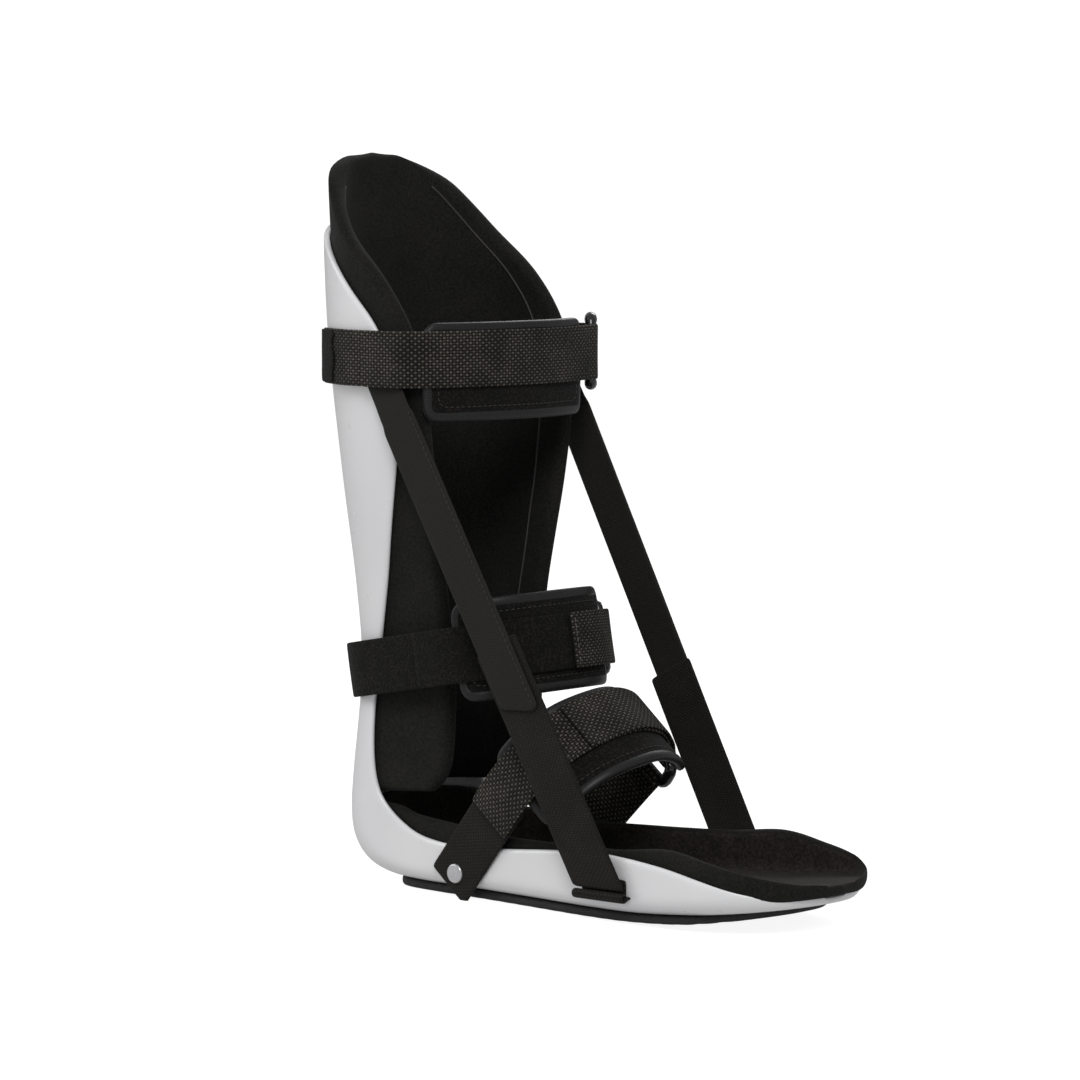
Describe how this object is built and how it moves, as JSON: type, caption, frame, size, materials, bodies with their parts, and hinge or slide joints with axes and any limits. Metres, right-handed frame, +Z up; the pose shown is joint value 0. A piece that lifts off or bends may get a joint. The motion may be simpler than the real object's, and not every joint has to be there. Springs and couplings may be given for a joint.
{
  "type": "ankle foot orthosis",
  "caption": "L-shaped rigid plastic leg and foot splint with foam lining, padded calf, ankle and instep straps, tension straps on both sides and a rubber sole.",
  "frame": {"origin": "on the ground under the middle of the heel, on the flat underside of the sole", "axes": "+X to the toes, +Z up the leg, +Y to the far side, where the rings are"},
  "size_m": [0.2841, 0.1324, 0.3417],
  "materials": {
    "shell_plastic": "glossy moulded white plastic",
    "liner_foam": "black cloth-faced foam",
    "sole_rubber": "matt black tread rubber",
    "webbing": "coarse woven black webbing",
    "loop_strap": "black brushed hook-and-loop strap",
    "pad_cloth": "black loop cloth over foam, satin binding",
    "ring_plastic": "glossy black plastic",
    "rivet_metal": "satin light metal"
  },
  "bodies": {
    "root": {"rigid_shell": "shell_plastic", "calf_liner": "liner_foam", "foot_liner": "liner_foam", "outsole": "sole_rubber", "calf_back_strap": "webbing", "calf_ring_keeper": "webbing", "calf_rivets": "rivet_metal", "ankle_back_strap": "loop_strap", "instep_back_strap": "webbing", "instep_ring_keeper": "webbing", "instep_near_rivet": "rivet_metal", "instep_far_rivet": "rivet_metal", "near_tension_tab": "loop_strap", "near_slot_fold": "webbing", "far_tension_tab": "loop_strap", "far_slot_fold": "webbing"},
    "calf_ring": {"calf_ring": "ring_plastic"},
    "calf_closure": {"calf_front_strap": "webbing", "calf_pad": "pad_cloth"},
    "ankle_ring": {"ankle_ring": "ring_plastic"},
    "ankle_closure": {"ankle_front_strap": "loop_strap", "ankle_pad": "pad_cloth"},
    "ankle_tongue": {"ankle_tongue": "webbing"},
    "instep_ring": {"instep_ring": "ring_plastic"},
    "instep_closure": {"instep_front_strap": "webbing", "instep_pad": "pad_cloth"},
    "instep_tongue": {"instep_tongue": "webbing"},
    "near_upper_tension": {"near_upper_tension_strap": "loop_strap"},
    "near_lower_tension": {"near_lower_tension_strap": "webbing"},
    "far_upper_tension": {"far_upper_tension_strap": "loop_strap"},
    "far_lower_tension": {"far_lower_tension_strap": "webbing"}
  },
  "joints": [
    {"name": "calf_ring_swing", "type": "hinge", "parent": "root", "child": "calf_ring", "pos_m": [0.03332, 0.06336, 0.247], "axis": [0, 0, 1], "range_deg": [0, 8]},
    {"name": "calf_closure_swing", "type": "hinge", "parent": "calf_ring", "child": "calf_closure", "pos_m": [0.0413, 0.0544, 0.247], "axis": [0, 0, 1], "range_deg": [0, 100]},
    {"name": "ankle_ring_swing", "type": "hinge", "parent": "root", "child": "ankle_ring", "pos_m": [0.04463, 0.04824, 0.11257], "axis": [-0.1736, 0, 0.9848], "range_deg": [0, 8]},
    {"name": "ankle_closure_swing", "type": "hinge", "parent": "ankle_ring", "child": "ankle_closure", "pos_m": [0.05613, 0.0455, 0.1146], "axis": [-0.1736, 0, 0.9848], "range_deg": [0, 55]},
    {"name": "ankle_tongue_peel", "type": "hinge", "parent": "ankle_closure", "child": "ankle_tongue", "pos_m": [0.05613, 0.0455, 0.1146], "axis": [-0.1736, 0, 0.9848], "range_deg": [0, 45]},
    {"name": "instep_ring_swing", "type": "hinge", "parent": "root", "child": "instep_ring", "pos_m": [0.07982, 0.04671, 0.05767], "axis": [-0.766, 0, 0.6428], "range_deg": [0, 8]},
    {"name": "instep_closure_swing", "type": "hinge", "parent": "instep_ring", "child": "instep_closure", "pos_m": [0.08746, 0.045, 0.06677], "axis": [-0.766, 0, 0.6428], "range_deg": [0, 25]},
    {"name": "instep_tongue_peel", "type": "hinge", "parent": "instep_closure", "child": "instep_tongue", "pos_m": [0.08746, 0.045, 0.06677], "axis": [-0.766, 0, 0.6428], "range_deg": [0, 45]},
    {"name": "near_upper_tension_swing", "type": "hinge", "parent": "root", "child": "near_upper_tension", "pos_m": [0.02103, -0.06105, 0.22595], "axis": [-0.8766, 0, -0.4812], "range_deg": [0, 60]},
    {"name": "near_lower_tension_swing", "type": "hinge", "parent": "root", "child": "near_lower_tension", "pos_m": [0.1365, -0.0515, 0.0152], "axis": [1, 0, 0], "range_deg": [0, 48]},
    {"name": "far_upper_tension_swing", "type": "hinge", "parent": "root", "child": "far_upper_tension", "pos_m": [0.02103, 0.06105, 0.22595], "axis": [0.8766, 0, 0.4812], "range_deg": [0, 60]},
    {"name": "far_lower_tension_swing", "type": "hinge", "parent": "root", "child": "far_lower_tension", "pos_m": [0.1365, 0.0515, 0.0152], "axis": [-1, 0, 0], "range_deg": [0, 48]}
  ],
  "couplings": [
    {"joint": "near_lower_tension_swing", "follows": "near_upper_tension_swing", "ratio": 0.8},
    {"joint": "far_lower_tension_swing", "follows": "far_upper_tension_swing", "ratio": 0.8}
  ]
}
